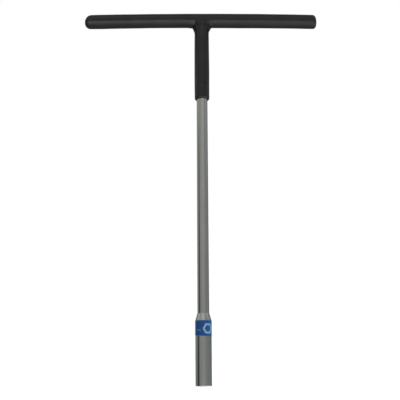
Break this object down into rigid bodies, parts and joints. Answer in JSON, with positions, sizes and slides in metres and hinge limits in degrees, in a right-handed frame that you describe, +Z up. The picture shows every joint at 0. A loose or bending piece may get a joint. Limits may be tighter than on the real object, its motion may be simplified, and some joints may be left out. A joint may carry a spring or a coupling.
{
  "type": "t-handle socket wrench",
  "caption": "Long T-handle hexagon socket wrench: dipped black vinyl cross grip, round satin steel shank and deep cylindrical socket with a blue label band.",
  "frame": {"origin": "centre of the socket's mouth, in the plane of its rim", "axes": "+Z up the shank from the socket to the handle, +X along the cross bar, +Y across the tool, away from the side that faces the viewer"},
  "size_m": [0.2448, 0.0154, 0.3779],
  "materials": {
    "bar_steel": "plain cold-drawn steel rod, hidden inside the grip",
    "shank_steel": "satin chrome plate over fine turning lines",
    "weld_metal": "oxidised weld bead, hidden inside the grip",
    "grip_vinyl": "black dip-moulded vinyl with a soft sheen",
    "socket_steel": "satin chrome plate, a little darker than the shank",
    "label_film": "thin blue printed film wrapped once round the socket"
  },
  "bodies": {
    "root": {"cross_bar": "bar_steel", "shank": "shank_steel", "t_weld": "weld_metal", "grip": "grip_vinyl", "socket": "socket_steel", "label": "label_film"}
  },
  "joints": []
}
